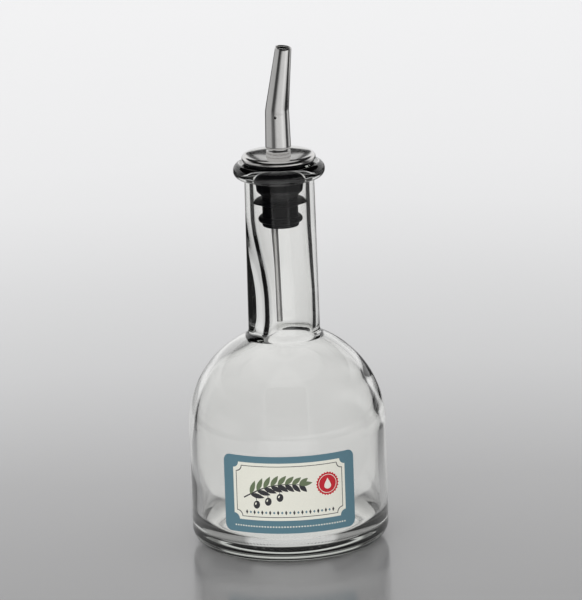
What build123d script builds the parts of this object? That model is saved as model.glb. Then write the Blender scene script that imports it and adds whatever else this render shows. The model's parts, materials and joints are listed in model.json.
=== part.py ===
from build123d import *

import os
from math import atan, cos, degrees, radians, sin, sqrt

os.makedirs("parts", exist_ok=True)

# Oil and vinegar bottle: a pressed glass bottle with domed shoulders and a long neck, closed by a
# finned rubber stopper that carries a bent stainless pouring spout with its air tube.
# Millimetres. The bottle stands on Z = 0 with its axis on Z, and -Y is the front, with the label.

# Glass bottle, outside
body_radius = 39.7
heel_radius = 7.5
straight_side_top = 48.9
shoulder_radius = 40.5
neck_root_radius = 14.4
neck_top_radius = 14.0
neck_length = 64.6
neck_fillet = 3.5
lip_height = 6.0
lip_reach = 4.4
lip_rounding = 2.9
lip_root_fillet = 0.8

# Glass bottle, inside and underneath
body_wall = 2.8
bore_radius = 10.6
mouth_rounding = 1.2
throat_fillet = 4.0
inner_heel_radius = 9.0
base_thickness = 5.0
base_crown = 1.6
push_up_height = 2.2
bearing_ring_width = 3.2

# Paper label on the front of the straight side
label_width = 56.3
label_height = 31.9
label_corner = 3.0
label_thickness = 0.2
label_glue = 0.08
label_foot = 13.7

# Rubber stopper: a flange on the lip, and a plug with a skirt, a sealing fin and a bead
plug_radius = 7.2
plug_foot_radius = 7.4
plug_foot_height = 2.7
plug_length = 25.7
flange_radius = 14.4
flange_foot_radius = 13.6
flange_height = 1.3
flange_side = 0.6
flange_rounding = 0.3
mouth_clearance = 0.05
skirt_length = 11.1
skirt_radius = 9.2
skirt_undercut = 2.2
fin_depth = 15.9
fin_root = 2.6
fin_edge = 0.4
fin_rise = 0.5
bead_depth = 22.7
bead_radius = 8.9
bead_height = 2.4
foot_chamfer = 0.4

# Domed steel collar between the flange and the spout
collar_radius = 14.85
collar_rim = 1.8
collar_rise = 0.8
collar_edge = 1.5
collar_foot_rounding = 0.2
collar_sheet = 0.6
collar_lift = 0.1

# Steel spout: a stem in the stopper, a swaged foot on the collar, a tapered tube and a bend
stem_radius = 4.6
stem_length = 24.5
spout_wall = 0.5
stem_clearance = 0.05
swage_radius = 4.95
swage_seat_radius = 4.8
swage_height = 1.5
groove_radius = 4.75
groove_height = 0.4
spout_foot_radius = 5.15
spout_bend_radius = 4.85
spout_tip_radius = 3.25
spout_foot_length = 14.2
spout_elbow_radius = 16.0
spout_elbow_angle = 7.5
spout_end_length = 25.2
spout_heading = 350.0

# Steel air tube, from the neck up to the vent hole in the front of the spout
air_tube_radius = 1.4
air_tube_bore = 1.0
air_tube_cap = 0.8
air_tube_gap = 0.02
air_tube_reach = 39.7
air_tube_foot_x = -1.8
air_tube_foot_y = -0.5
air_tube_seat_heading = 190.0
air_tube_bend_radius = 15.0
air_tube_head_length = 4.2
vent_heading = 260.0
vent_radius = 0.6
vent_below_bend = 0.9

# Heights and radii that follow
shoulder_centre = body_radius - shoulder_radius
inner_radius = body_radius - body_wall
neck_root = straight_side_top + sqrt(shoulder_radius**2 - (neck_root_radius - shoulder_centre) ** 2)
inner_shoulder_radius = shoulder_radius - body_wall
throat = straight_side_top + sqrt(inner_shoulder_radius**2 - (bore_radius - shoulder_centre) ** 2)
lip_bottom = neck_root + neck_length
lip_top = lip_bottom + lip_height
lip_radius = neck_top_radius + lip_reach
bearing_radius = body_radius - heel_radius
flange_top = lip_top + flange_height
plug_bottom = lip_top - plug_length
sealing_radius = bore_radius - mouth_clearance
stem_bore_radius = stem_radius + stem_clearance
bead_root_radius = (stem_bore_radius + plug_radius) / 2
collar_bottom = flange_top + collar_lift
collar_crown = collar_bottom + collar_rim + collar_rise
stem_bottom = collar_bottom - stem_length
spout_foot = collar_crown + swage_height + groove_height
elbow_start = spout_foot + spout_foot_length
vent_height = elbow_start - vent_below_bend


def corner(half_profile, radius, height):
    """The corner of a half profile that stands at one radius and height."""
    return half_profile.vertices().sort_by_distance((radius, height))[0]


def heading(angle, radius):
    """A point at one radius from the axis, in the direction of an angle counted from +X."""
    return radius * cos(radians(angle)), radius * sin(radians(angle))


# Bottle: the outer form is turned from one half profile, then the hollow is turned out of it
with BuildPart() as bottle:
    with BuildSketch(Plane.XZ) as outer_half:
        with BuildLine():
            foot = Polyline((bearing_radius - bearing_ring_width, 0), (bearing_radius, 0))
            heel = TangentArc(foot @ 1, (body_radius, heel_radius), tangent=foot % 1)
            side = Line(heel @ 1, (body_radius, straight_side_top))
            shoulder = TangentArc(side @ 1, (neck_root_radius, neck_root), tangent=side % 1)
            neck = Polyline(
                shoulder @ 1,
                (neck_top_radius, lip_bottom),
                (lip_radius, lip_bottom),
                (lip_radius, lip_top),
                (0, lip_top),
                (0, push_up_height),
            )
            TangentArc(neck @ 1, foot @ 0, tangent=(1, 0))
        make_face()
        fillet(corner(outer_half, neck_root_radius, neck_root), neck_fillet)
        fillet(corner(outer_half, neck_top_radius, lip_bottom), lip_root_fillet)
        fillet(corner(outer_half, lip_radius, lip_bottom), lip_rounding)
        fillet(corner(outer_half, lip_radius, lip_top), lip_rounding)
    revolve(axis=Axis.Z)
    with BuildSketch(Plane.XZ) as inner_half:
        with BuildLine():
            floor = TangentArc(
                (0, base_thickness + base_crown),
                (inner_radius, base_thickness),
                tangent=(1, 0),
            )
            inner_side = Line(floor @ 1, (inner_radius, straight_side_top))
            inner_shoulder = TangentArc(inner_side @ 1, (bore_radius, throat), tangent=inner_side % 1)
            Polyline(inner_shoulder @ 1, (bore_radius, lip_top), (0, lip_top), floor @ 0)
        make_face()
        fillet(corner(inner_half, inner_radius, base_thickness), inner_heel_radius)
        fillet(corner(inner_half, bore_radius, throat), throat_fillet)
    revolve(axis=Axis.Z, mode=Mode.SUBTRACT)
    mouth = bottle.edges().filter_by(GeomType.CIRCLE).group_by(Axis.Z)[-1]
    fillet(mouth.sort_by(SortBy.RADIUS)[0], mouth_rounding)

# The one pressing is kept as a body, a shoulder and a neck, which meet face to face at two seams
side_seam = Plane.XY.offset(straight_side_top)
neck_seam = Plane.XY.offset(neck_root + neck_fillet)
with BuildPart() as glass_body:
    add(bottle.part)
    split(bisect_by=side_seam, keep=Keep.BOTTOM)
glass_body.part.label = "glass_body"
export_step(glass_body.part, "parts/glass_body.step")

with BuildPart() as glass_shoulder:
    add(bottle.part)
    split(bisect_by=side_seam, keep=Keep.TOP)
    split(bisect_by=neck_seam, keep=Keep.BOTTOM)
glass_shoulder.part.label = "glass_shoulder"
export_step(glass_shoulder.part, "parts/glass_shoulder.step")

with BuildPart() as glass_neck:
    add(bottle.part)
    split(bisect_by=neck_seam, keep=Keep.TOP)
glass_neck.part.label = "glass_neck"
export_step(glass_neck.part, "parts/glass_neck.step")

# Label: a rounded rectangle cut out of a thin shell round the straight side
label_inner = body_radius + label_glue
label_outer = label_inner + label_thickness
label_chord = 2 * label_outer * sin(label_width / (2 * label_outer))
with BuildPart() as label:
    with BuildSketch(Plane.XZ):
        with Locations((0, label_foot + label_height / 2)):
            RectangleRounded(label_chord, label_height, label_corner)
    extrude(amount=2 * label_outer)
    with BuildSketch(Plane.XY.offset(label_foot)):
        Circle(label_outer)
        Circle(label_inner, mode=Mode.SUBTRACT)
    extrude(amount=label_height, mode=Mode.INTERSECT)
label.part.label = "label"
export_step(label.part, "parts/label.step")

# Stopper: turned from one half profile, bored for the stem
skirt_foot = lip_top - skirt_length
fin_centre = lip_top - fin_depth
bead_centre = lip_top - bead_depth
with BuildPart() as stopper:
    with BuildSketch(Plane.XZ) as stopper_half:
        with BuildLine():
            Polyline(
                (stem_bore_radius, flange_top),
                (flange_radius, flange_top),
                (flange_radius, flange_top - flange_side),
                (flange_foot_radius, lip_top),
                (sealing_radius, lip_top),
                (skirt_radius, skirt_foot),
                (plug_radius, skirt_foot - skirt_undercut),
                (plug_radius, fin_centre + fin_root / 2),
                (sealing_radius, fin_centre + fin_rise + fin_edge / 2),
                (sealing_radius, fin_centre + fin_rise - fin_edge / 2),
                (plug_radius, fin_centre - fin_root / 2),
                (plug_radius, plug_bottom + plug_foot_height),
                (plug_foot_radius, plug_bottom + plug_foot_height),
                (plug_foot_radius, plug_bottom),
                (stem_bore_radius, plug_bottom),
                close=True,
            )
        make_face()
        fillet(corner(stopper_half, flange_radius, flange_top), flange_rounding)
        chamfer(corner(stopper_half, plug_foot_radius, plug_bottom), foot_chamfer)
    revolve(axis=Axis.Z)
    with BuildSketch(Plane.XZ) as bead_half:
        with BuildLine():
            root = Line((bead_root_radius, bead_centre - bead_height / 2),
                        (bead_root_radius, bead_centre + bead_height / 2))
            bead_top = Line(root @ 1, (plug_radius, bead_centre + bead_height / 2))
            crest = ThreePointArc(bead_top @ 1, (bead_radius, bead_centre),
                                  (plug_radius, bead_centre - bead_height / 2))
            Line(crest @ 1, root @ 0)
        make_face()
    revolve(axis=Axis.Z)
stopper.part.label = "stopper"
export_step(stopper.part, "parts/stopper.step")

# Collar: a low dome pressed from sheet, turned down over a round edge to its rim
dome_reach = collar_radius - swage_radius
dome_curve = (dome_reach**2 + collar_rise**2) / (2 * collar_rise)
inner_rim_top = collar_crown - dome_curve + sqrt(
    (dome_curve - collar_sheet) ** 2 - (dome_reach - collar_sheet) ** 2
)
with BuildPart() as collar:
    with BuildSketch(Plane.XZ) as collar_half:
        with BuildLine():
            flat = Line((stem_bore_radius, collar_crown), (swage_radius, collar_crown))
            dome = TangentArc(flat @ 1, (collar_radius, collar_bottom + collar_rim), tangent=flat % 1)
            inner_dome = TangentArc(
                (swage_radius, collar_crown - collar_sheet),
                (collar_radius - collar_sheet, inner_rim_top),
                tangent=flat % 1,
            )
            Polyline(
                dome @ 1,
                (collar_radius, collar_bottom),
                (collar_radius - collar_sheet, collar_bottom),
                inner_dome @ 1,
            )
            Polyline(inner_dome @ 0, (stem_bore_radius, collar_crown - collar_sheet), flat @ 0)
        make_face()
        fillet(corner(collar_half, collar_radius, collar_bottom + collar_rim), collar_edge)
        fillet(corner(collar_half, collar_radius - collar_sheet, inner_rim_top), collar_edge - collar_sheet)
        fillet(corner(collar_half, collar_radius, collar_bottom), collar_foot_rounding)
    revolve(axis=Axis.Z)
collar.part.label = "collar"
export_step(collar.part, "parts/collar.step")

# Spout: straight foot, elbow and tapered end, first solid and then drawn in by the wall
lean = heading(spout_heading, 1)
spout_plane = Plane(origin=(0, 0, 0), x_dir=(lean[0], lean[1], 0), z_dir=(lean[1], -lean[0], 0))
with BuildLine(spout_plane) as elbow:
    JernArc((0, elbow_start), (0, 1), spout_elbow_radius, -spout_elbow_angle)
elbow_path = elbow.line
foot_plane = Plane.XY.offset(spout_foot)
elbow_plane = Plane(origin=elbow_path @ 0, z_dir=elbow_path % 0)
end_plane = Plane(origin=elbow_path @ 1, z_dir=elbow_path % 1)
foot_taper = degrees(atan((spout_foot_radius - spout_bend_radius) / spout_foot_length))
end_taper = degrees(atan((spout_bend_radius - spout_tip_radius) / spout_end_length))
head_radius = spout_bend_radius - spout_wall - air_tube_radius - air_tube_gap
air_tube_head = heading(vent_heading, head_radius)
vent_plane = Plane(origin=(*air_tube_head, vent_height), z_dir=(*heading(vent_heading, 1), 0))


def spout_run(inset, mode):
    """The spout above its swaged foot, drawn in all round by one inset."""
    with BuildSketch(foot_plane) as foot_circle:
        Circle(spout_foot_radius - inset)
    extrude(foot_circle.sketch, amount=spout_foot_length, taper=foot_taper, mode=mode)
    with BuildSketch(elbow_plane) as elbow_circle:
        Circle(spout_bend_radius - inset)
    sweep(elbow_circle.sketch, path=elbow_path, mode=mode)
    with BuildSketch(end_plane) as end_circle:
        Circle(spout_bend_radius - inset)
    extrude(end_circle.sketch, amount=spout_end_length, taper=end_taper, mode=mode)


with BuildPart() as spout:
    spout_run(0, Mode.ADD)
    with BuildSketch(Plane.XZ):
        with BuildLine():
            stem = Polyline((0, stem_bottom), (stem_radius, stem_bottom), (stem_radius, collar_crown),
                            (swage_seat_radius, collar_crown))
            swage = ThreePointArc(stem @ 1, (swage_radius, collar_crown + swage_height / 2),
                                  (groove_radius, collar_crown + swage_height))
            Polyline(swage @ 1, (groove_radius, spout_foot), (0, spout_foot), (0, stem_bottom))
        make_face()
    revolve(axis=Axis.Z)
    spout_run(spout_wall, Mode.SUBTRACT)
    with BuildSketch(Plane.XY.offset(stem_bottom)):
        Circle(stem_radius - spout_wall)
    extrude(amount=spout_foot - stem_bottom, mode=Mode.SUBTRACT)
    with BuildSketch(vent_plane):
        Circle(vent_radius)
    extrude(amount=spout_foot_radius, mode=Mode.SUBTRACT)
spout.part.label = "spout"
export_step(spout.part, "parts/spout.step")

# Air tube: three straight runs joined by bends, closed at the top, with its side hole at the vent
seat_radius = stem_radius - spout_wall - air_tube_radius - air_tube_gap
air_tube_top = vent_height + vent_radius + air_tube_cap
air_tube_points = [
    (air_tube_foot_x, air_tube_foot_y, plug_bottom - air_tube_reach),
    (*heading(air_tube_seat_heading, seat_radius), stem_bottom + air_tube_radius),
    (*air_tube_head, vent_height - air_tube_head_length),
    (*air_tube_head, air_tube_top),
]
with BuildPart() as air_tube:
    with BuildLine() as tube_line:
        FilletPolyline(*air_tube_points, radius=air_tube_bend_radius)
    with BuildSketch(Plane(origin=tube_line.line @ 0, z_dir=tube_line.line % 0)) as tube_ring:
        Circle(air_tube_radius)
        Circle(air_tube_bore, mode=Mode.SUBTRACT)
    sweep(path=tube_line.line)
    with BuildSketch(Plane(origin=tube_line.line @ 1, z_dir=(0, 0, 1))):
        Circle(air_tube_radius)
    extrude(amount=-air_tube_cap)
    with BuildSketch(vent_plane):
        Circle(vent_radius)
    extrude(amount=spout_foot_radius, mode=Mode.SUBTRACT)
air_tube.part.label = "air_tube"
export_step(air_tube.part, "parts/air_tube.step")
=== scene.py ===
"""Looks of an oil and vinegar bottle: clear pressed glass, a rubber stopper and a polished steel pourer."""

import json
import math

import bmesh
import bpy
from mathutils import Matrix, Vector, noise
from mathutils.geometry import delaunay_2d_cdt

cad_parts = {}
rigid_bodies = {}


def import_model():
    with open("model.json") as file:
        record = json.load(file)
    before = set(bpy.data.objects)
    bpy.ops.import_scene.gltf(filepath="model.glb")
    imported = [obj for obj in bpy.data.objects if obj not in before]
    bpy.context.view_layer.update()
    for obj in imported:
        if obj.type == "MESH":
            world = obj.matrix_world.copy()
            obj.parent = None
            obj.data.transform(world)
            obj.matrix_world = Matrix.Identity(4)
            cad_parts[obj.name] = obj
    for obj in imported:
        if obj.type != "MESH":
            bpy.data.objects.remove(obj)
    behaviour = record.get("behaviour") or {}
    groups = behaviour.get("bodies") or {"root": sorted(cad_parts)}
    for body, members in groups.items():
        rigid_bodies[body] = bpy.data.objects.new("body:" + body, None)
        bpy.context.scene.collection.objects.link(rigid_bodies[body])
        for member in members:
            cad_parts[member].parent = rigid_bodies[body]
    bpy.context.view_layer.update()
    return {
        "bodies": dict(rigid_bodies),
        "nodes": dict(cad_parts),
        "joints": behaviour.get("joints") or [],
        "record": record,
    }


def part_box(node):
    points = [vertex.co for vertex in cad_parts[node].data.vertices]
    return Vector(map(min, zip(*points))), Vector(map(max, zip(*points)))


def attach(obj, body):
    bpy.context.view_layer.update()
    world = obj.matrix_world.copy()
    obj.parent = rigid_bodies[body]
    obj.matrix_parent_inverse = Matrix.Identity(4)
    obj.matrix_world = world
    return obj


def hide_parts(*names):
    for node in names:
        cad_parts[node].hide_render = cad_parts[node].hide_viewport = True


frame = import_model()

MM = 0.001
TURN = 2 * math.pi

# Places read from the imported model, in metres
body_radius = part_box("glass_body")[1].x
lip_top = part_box("glass_neck")[1].z
label_low, label_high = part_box("label")
label_outer = -label_low.y
label_middle = (label_low.z + label_high.z) / 2
stopper_low, stopper_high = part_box("stopper")
flange_top = stopper_high.z
flange_radius = stopper_high.x
plug_bottom = stopper_low.z
collar_low, collar_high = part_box("collar")
collar_radius = collar_high.x
collar_bottom = collar_low.z
collar_crown = collar_high.z
stem_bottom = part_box("spout")[0].z
tube_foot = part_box("air_tube")[0].z

# Camera: the photograph's view, from the front and a little above
CAMERA_DISTANCE = 3.0
CAMERA_RISE = math.radians(14.8)
CAMERA_ROLL = math.radians(1.9)
CAMERA_LENS = 447.7
AIM = Vector((0.0031, 0.0, 0.0997))

# Floor: its gloss, and its grey by how far behind the bottle a place lies, or further off by how far from it.
# The grey is painted shade: darker near the bottle and paler further off, as light falls on the floor
FLOOR_REACH = 12.0
FLOOR_ROUGHNESS = 0.15
FLOOR_IOR = 1.75
FLOOR_NEAR, FLOOR_FAR = -0.1, 1.1
ROUND_NEAR, ROUND_FAR = 0.15, 0.4
FLOOR_SHADE_TONES = [
    (-0.085, 0.18), (-0.02, 0.209), (0.03, 0.236), (0.085, 0.266), (0.145, 0.321), (0.21, 0.383),
    (0.275, 0.447), (0.345, 0.495), (0.415, 0.544), (0.49, 0.607), (0.565, 0.662), (0.65, 0.697),
    (0.75, 0.717), (0.87, 0.731), (1.0, 0.74),
]

# Dark cards to the left and right that glass shows: how much light passes, by share sideways
CARD_STOPS = [(0.0, 1.0), (0.54, 1.0), (0.62, 0.0), (1.0, 0.0)]
CARD_NEAR, CARD_FAR = 0.1, 0.24
CARD_TOP, CARD_FADE = 0.28, 0.4
CARD_TONE = (0.006, 0.006, 0.006, 1)

# Pale floor that glass shows, from this far before the bottle to this far behind it
PALE_NEAR, PALE_FAR = -0.6, 0.2
PALE_STOPS = [(0.0, 0.05), (0.12, 0.05), (0.2, 1.0), (0.35, 0.9), (0.87, 0.4), (1.0, 0.4)]
PALE_TONE = (0.9, 0.9, 0.9, 1)

# Painted light under the base: a glow on the floor that only glass shows, in place of the light that the base
# gathers. It lies inside this distance from the axis, and is weaker where the glass mirrors it
BASE_FULL, BASE_END = 0.036, 0.05
BASE_MIRRORED = 0.3
BASE_GLOW_TONE = (0.72, 0.72, 0.71, 1)

# What metal shows of the floor, by bearing: 0 behind, 0.25 left, 0.5 before and 0.75 right of the object
BODY_TONES = [(0.0, 0.6), (0.1, 0.6), (0.3, 0.7), (0.4, 0.9), (0.6, 0.9), (0.7, 0.6), (0.9, 0.5), (1.0, 0.5)]
NECK_TONES = [
    (0.0, 0.6), (0.08, 0.03), (0.34, 0.03), (0.42, 0.9), (0.58, 0.9), (0.66, 0.03), (0.92, 0.03),
    (1.0, 0.6),
]
PLUG_TONES = [
    (0.0, 0.4), (0.06, 0.02), (0.44, 0.02), (0.48, 0.1), (0.56, 0.1), (0.6, 0.4), (0.69, 0.45),
    (0.72, 0.02), (0.94, 0.02), (1.0, 0.4),
]
FAR_TONES = [
    (0.0, 0.5), (0.05, 0.5), (0.075, 0.08), (0.12, 0.08), (0.15, 0.5), (0.32, 0.48), (0.36, 0.16),
    (0.415, 0.1), (0.44, 0.4), (0.48, 0.68), (0.58, 0.75), (0.63, 0.95), (0.7, 0.72), (0.73, 0.05),
    (0.785, 0.05), (0.82, 0.55), (0.88, 0.5), (0.91, 0.08), (0.94, 0.08), (1.0, 0.5),
]
BEYOND_TONES = [(0.0, 0.5), (0.32, 0.48), (0.36, 0.04), (0.9, 0.04), (1.0, 0.5)]
MIRROR_NEAR, MIRROR_FAR = 0.045, 0.08
MIRROR_ZONES = [
    (0.3, 0.36, NECK_TONES),
    (0.44, 0.5, PLUG_TONES),
    (0.62, 0.64, FAR_TONES),
    (1.7, 2.2, BEYOND_TONES),
]

# Cards behind the pourer that metal shows: name, grey, width, lowest and highest point, and how far behind
CARDS_BEHIND = [("dark_card", 0.015, 0.068, 0.205, 0.42, 0.3), ("pale_card", 0.6, 0.05, 0.244, 0.32, 0.295)]

# Sky that metal shows: by height, and below HIGH_START also by bearing, from SKY_LOW to SKY_ROUND higher up
SKY_PLAIN = (242, 242, 244)
SKY_MIRRORED = [(0.0, 0.88), (0.43, 0.85), (0.47, 0.02), (0.8, 0.02), (0.86, 0.5), (1.0, 0.55)]
SKY_LOW = [
    (0.0, 1.0), (0.15, 1.0), (0.2, 0.5), (0.33, 0.48), (0.36, 0.04), (0.75, 0.04), (0.85, 1.0),
    (1.0, 1.0),
]
SKY_ROUND = [(0.0, 1.0), (0.15, 1.0), (0.25, 0.04), (0.75, 0.04), (0.85, 1.0), (1.0, 1.0)]
LOW_END, ROUND_START = 0.12, 0.18
HIGH_START, HIGH_FULL = 0.8, 0.86
SKY_TWICE = (0.6, 0.6, 0.6, 1)

# Sky that glass shows, by height: straight through, and after a reflection
SKY_REFRACTED = [(0.0, 0.88), (0.1, 0.85), (0.17, 0.1), (0.45, 0.12), (0.75, 0.45), (1.0, 0.5)]
SKY_REPEATED = [(0.0, 0.88), (0.15, 0.6), (0.32, 0.45), (0.4, 0.12), (1.0, 0.3)]

# Glass, outside. The trims are the degrees of an arc that a fillet takes
HEEL_RADIUS = 7.5 * MM
SIDE_TOP = 48.9 * MM
SHOULDER_RADIUS = 40.5 * MM
SHOULDER_TRIM = 4.5
NECK_ROOT_RADIUS = 14.4 * MM
NECK_TOP_RADIUS = 14.0 * MM
NECK_FILLET = 3.5 * MM
LIP_HEIGHT = 6.0 * MM
LIP_REACH = 4.4 * MM
LIP_ROUNDING = 2.9 * MM
LIP_ROOT_FILLET = 0.8 * MM
PUSH_UP_HEIGHT = 2.2 * MM
BEARING_RING = 3.2 * MM
STIPPLES = 130

# Glass, inside
WALL = 2.8 * MM
BORE_RADIUS = 10.6 * MM
MOUTH_ROUNDING = 1.2 * MM
THROAT_FILLET = 4.0 * MM
THROAT_TRIM = 6
INNER_HEEL = 9.0 * MM
BASE_THICKNESS = 5.0 * MM
BASE_CROWN = 1.6 * MM
FLOOR_LIFT = 0.7 * MM

# How far the inner surface wanders
STREAK_HEADING = math.radians(166)
STREAK_DEPTH = 3.5 * MM
THIN_DEPTH = 0.8 * MM
SWELL = 0.9 * MM
WANDER = 0.35 * MM
WANDER_SCALE = 42

# What the glass lets pass of a lamp's light: little at the floor and at its edges, most above SHADE_TOP
SHADE_TOP = 14 * MM
SHADE_PASS = 0.93
EDGE_START, EDGE_FULL = 0.35, 0.9
EDGE_PASS = 0.05


def arc(centre, radius, start, end, steps):
    """Points of an arc in the half plane, from one angle to another, in degrees from the +R direction."""
    angles = [math.radians(start + (end - start) * i / steps) for i in range(steps + 1)]
    return [(centre[0] + radius * math.cos(a), centre[1] + radius * math.sin(a)) for a in angles]


def rounded(corners, steps=8):
    """A line through (radius, height, rounding) corners, with each rounded corner as an arc."""
    line = []
    for i, (r, z, rounding) in enumerate(corners):
        here = Vector((r, z))
        if rounding == 0 or i in (0, len(corners) - 1):
            line.append((r, z))
            continue
        before = (Vector(corners[i - 1][:2]) - here).normalized()
        after = (Vector(corners[i + 1][:2]) - here).normalized()
        half = before.angle(after) / 2
        reach = rounding / math.tan(half)
        middle = here + (before + after).normalized() * rounding / math.sin(half)
        first, last = here + before * reach - middle, here + after * reach - middle
        sweep = first.angle_signed(last)
        for k in range(steps + 1):
            turned = Matrix.Rotation(-sweep * k / steps, 2) @ first
            line.append(tuple(middle + turned))
    return line


def finer(line, longest):
    """The same line with its long runs divided, so that no run is longer than one length."""
    result = [line[0]]
    for a, b in zip(line, line[1:]):
        pieces = max(1, math.ceil((Vector(b) - Vector(a)).length / longest))
        result += [tuple(Vector(a).lerp(Vector(b), k / pieces)) for k in range(1, pieces + 1)]
    return result


def new_object(name, mesh_data):
    """An object with smooth faces, from a bmesh."""
    bmesh.ops.recalc_face_normals(mesh_data, faces=mesh_data.faces)
    for face in mesh_data.faces:
        face.smooth = True
    mesh = bpy.data.meshes.new(name)
    mesh_data.to_mesh(mesh)
    mesh_data.free()
    piece = bpy.data.objects.new(name, mesh)
    bpy.context.scene.collection.objects.link(piece)
    return piece


def lathe(name, outline, steps, closed, shape=None):
    """Turns an outline of (radius, height) points round the Z axis. Points on the axis become poles."""
    shell = bmesh.new()
    rings = []
    for i, (r, z) in enumerate(outline):
        if r < 1e-7:
            rings.append([shell.verts.new((0, 0, z))])
            continue
        ring = []
        for k in range(steps):
            angle = TURN * k / steps
            radius, height = shape(r, z, angle, i) if shape else (r, z)
            ring.append(shell.verts.new((radius * math.cos(angle), radius * math.sin(angle), height)))
        rings.append(ring)
    pairs = list(zip(rings, rings[1:]))
    if closed:
        pairs.append((rings[-1], rings[0]))
    for low, high in pairs:
        for k in range(steps):
            n = (k + 1) % steps
            corners = [low[k % len(low)], low[n % len(low)], high[n % len(high)], high[k % len(high)]]
            distinct = list(dict.fromkeys(corners))
            if len(distinct) > 2:
                shell.faces.new(distinct)
    return new_object(name, shell)


def glass_outline():
    """The bottle's half profile: up the outside from under the base, and down the inside to the floor."""
    centre = (body_radius - SHOULDER_RADIUS, SIDE_TOP)
    root_angle = math.degrees(math.acos((NECK_ROOT_RADIUS - centre[0]) / SHOULDER_RADIUS))
    neck_root = SIDE_TOP + SHOULDER_RADIUS * math.sin(math.radians(root_angle))
    bearing = body_radius - HEEL_RADIUS
    lip_radius = NECK_TOP_RADIUS + LIP_REACH
    push_up = [(bearing - BEARING_RING) * k / 24 for k in range(25)]
    under = [(r, PUSH_UP_HEIGHT * (1 - (r / push_up[-1]) ** 2)) for r in push_up]
    heel = arc((bearing, HEEL_RADIUS), HEEL_RADIUS, -90, 0, 20)
    shoulder = arc(centre, SHOULDER_RADIUS, 0, root_angle - SHOULDER_TRIM, 48)
    upper = rounded(
        [
            (*shoulder[-1], 0),
            (NECK_ROOT_RADIUS, neck_root, NECK_FILLET),
            (NECK_TOP_RADIUS, lip_top - LIP_HEIGHT, LIP_ROOT_FILLET),
            (lip_radius, lip_top - LIP_HEIGHT, LIP_ROUNDING),
            (lip_radius, lip_top, LIP_ROUNDING),
            (BORE_RADIUS, lip_top, MOUTH_ROUNDING),
            (BORE_RADIUS, lip_top - LIP_HEIGHT, 0),
        ],
        steps=12,
    )
    inner_radius = body_radius - WALL
    inner_shoulder = SHOULDER_RADIUS - WALL
    throat_angle = math.degrees(math.acos((BORE_RADIUS - centre[0]) / inner_shoulder))
    throat = SIDE_TOP + inner_shoulder * math.sin(math.radians(throat_angle))
    inner_arc = arc(centre, inner_shoulder, throat_angle - THROAT_TRIM, 0, 48)
    inner_upper = rounded(
        [
            (BORE_RADIUS, lip_top - LIP_HEIGHT, 0),
            (BORE_RADIUS, throat, THROAT_FILLET),
            (*inner_arc[0], 0),
        ],
        steps=12,
    )
    heel_centre = (inner_radius - INNER_HEEL, BASE_THICKNESS + INNER_HEEL + FLOOR_LIFT)
    inner_heel = arc(heel_centre, INNER_HEEL, 0, -86, 20)
    reach, lift = inner_heel[-1][0], inner_heel[-1][1]
    crown = BASE_THICKNESS + BASE_CROWN
    floor = [(reach * k / 20, crown - (crown - lift) * (k / 20) ** 2) for k in range(19, -1, -1)]
    outer = finer(under + heel[1:] + shoulder + upper[1:], 3 * MM)
    inner = finer(inner_upper + inner_arc[1:] + inner_heel + floor, 2 * MM)
    return outer, inner[1:]


def ease(value, start, end):
    """0 before the start, 1 after the end and a smooth rise between. The end may lie before the start."""
    share = min(1.0, max(0.0, (value - start) / (end - start)))
    return share * share * (3 - 2 * share)


def hump(value, start, full, fading, end):
    """0 up to the start, 1 from full to fading and 0 beyond the end, all given in millimetres."""
    return ease(value, end * MM, fading * MM) * ease(value, start * MM, full * MM)


def uneven(r, z, angle):
    """The inner surface as pressing leaves it: thick on the left of the lower neck and thin on the right."""
    left = max(0.0, math.cos(angle - STREAK_HEADING)) ** 1.2
    right = max(0.0, math.cos(angle)) ** 1.5
    low_neck = hump(z, 74, 94, 100, 136)
    heel_side = hump(z, 4, 10, 12, 38) * ease(r, 25 * MM, 36 * MM)
    high_side = hump(z, 48, 56, 66, 74) * ease(r, 25 * MM, 33 * MM)
    place = Vector((r * math.cos(angle), r * math.sin(angle), z)) * WANDER_SCALE
    wander = noise.noise(place) * WANDER * ease(r, 4 * MM, 14 * MM) * ease(z, 150 * MM, 120 * MM)
    r -= left * (STREAK_DEPTH * low_neck + SWELL * heel_side)
    r += right * (THIN_DEPTH * low_neck - SWELL * high_side)
    return r - abs(wander), z


def node_maker(tree):
    """A function that adds a node to a tree, with its settings and with links or values for its inputs."""
    def add(kind, inputs=None, **settings):
        node = tree.nodes.new(kind)
        for key, value in settings.items():
            setattr(node, key, value)
        for key, value in (inputs or {}).items():
            socket = input_of(node, key)
            if isinstance(value, bpy.types.Node):
                value = value.outputs[0]
            if isinstance(value, bpy.types.NodeSocket):
                tree.links.new(value, socket)
            else:
                socket.default_value = value
        return node

    return add


def input_of(node, key):
    """A node's input by number, or the enabled one of that name."""
    if isinstance(key, int):
        return node.inputs[key]
    return next(socket for socket in node.inputs if socket.name == key and socket.enabled)


def colour_of(mix):
    """The enabled output of a mix node."""
    return next(socket for socket in mix.outputs if socket.enabled)


def maths(add, operation, first, second):
    """Two values joined by a Math node."""
    return add("ShaderNodeMath", {0: first, 1: second}, operation=operation).outputs["Value"]


def product(add, *values):
    """Values multiplied."""
    result = values[0]
    for value in values[1:]:
        result = maths(add, "MULTIPLY", result, value)
    return result


def between(add, value, low, high, start=0.0, end=1.0):
    """A value carried from one range to another, and held at its ends."""
    carried = add("ShaderNodeMapRange", {"Value": value, "From Min": low, "From Max": high,
                                         "To Min": start, "To Max": end})
    return carried.outputs["Result"]


def blended(add, share, first, second, kind="MIX"):
    """Two colours mixed, or the first multiplied by the second."""
    return colour_of(add("ShaderNodeMix", {"Factor": share, "A": first, "B": second},
                         data_type="RGBA", blend_type=kind))


def layered(add, share, first, second):
    """Two shaders mixed: the first where the share is 0 and the second where it is 1."""
    return add("ShaderNodeMixShader", {0: share, 1: first, 2: second}).outputs["Shader"]


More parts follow.
